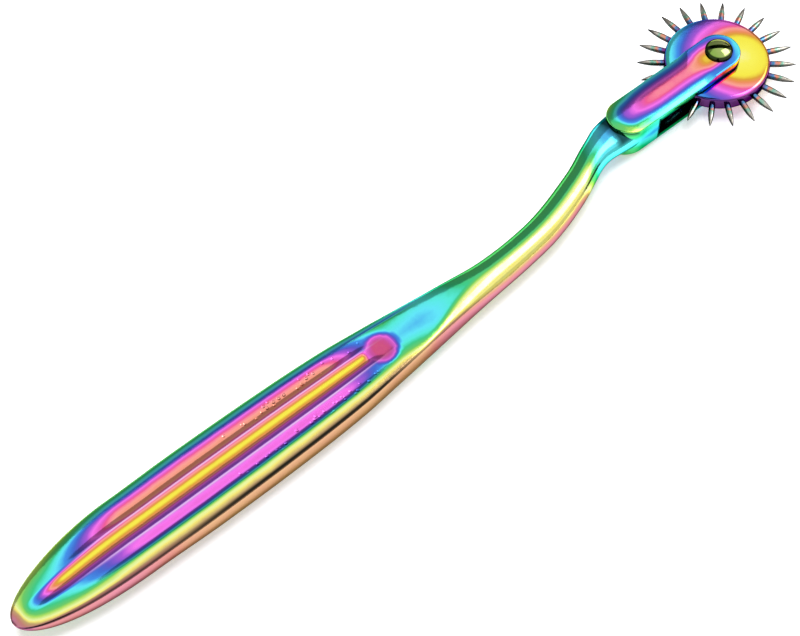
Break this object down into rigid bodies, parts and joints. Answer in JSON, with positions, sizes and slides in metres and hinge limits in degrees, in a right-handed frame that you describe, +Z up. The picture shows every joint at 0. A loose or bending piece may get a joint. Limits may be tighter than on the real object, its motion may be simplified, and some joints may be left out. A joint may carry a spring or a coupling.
{
  "type": "neurological pinwheel",
  "caption": "Hand-held sensory test wheel: a spiked disc that spins in a slim fork at the end of a fluted flat grip with an S-bent neck.",
  "frame": {"origin": "where the pivot axis meets the fork's flat underside, which the tool lies on", "axes": "+X along the handle from butt to wheel, +Y to the side that the neck is set over to, +Z up along the pivot axis"},
  "size_m": [0.1646, 0.0286, 0.008],
  "materials": {
    "handle_finish": "mirror-polished steel with a rainbow oxide coat",
    "disc_finish": "mirror-polished steel with a rainbow oxide coat",
    "screw_finish": "polished steel, olive tint",
    "spike_finish": "polished steel, faint rainbow tint"
  },
  "bodies": {
    "handle": {"handle": "handle_finish", "pivot_screw": "screw_finish"},
    "wheel": {"wheel_disc": "disc_finish", "spike_01": "spike_finish", "spike_02": "spike_finish", "spike_03": "spike_finish", "spike_04": "spike_finish", "spike_05": "spike_finish", "spike_06": "spike_finish", "spike_07": "spike_finish", "spike_08": "spike_finish", "spike_09": "spike_finish", "spike_10": "spike_finish", "spike_11": "spike_finish", "spike_12": "spike_finish", "spike_13": "spike_finish", "spike_14": "spike_finish", "spike_15": "spike_finish", "spike_16": "spike_finish", "spike_17": "spike_finish", "spike_18": "spike_finish", "spike_19": "spike_finish", "spike_20": "spike_finish", "spike_21": "spike_finish", "spike_22": "spike_finish"}
  },
  "joints": [
    {"name": "wheel_spin", "type": "hinge", "parent": "handle", "child": "wheel", "pos_m": [0, 0, 0.0034], "axis": [0, 0, 1], "continuous": true}
  ]
}
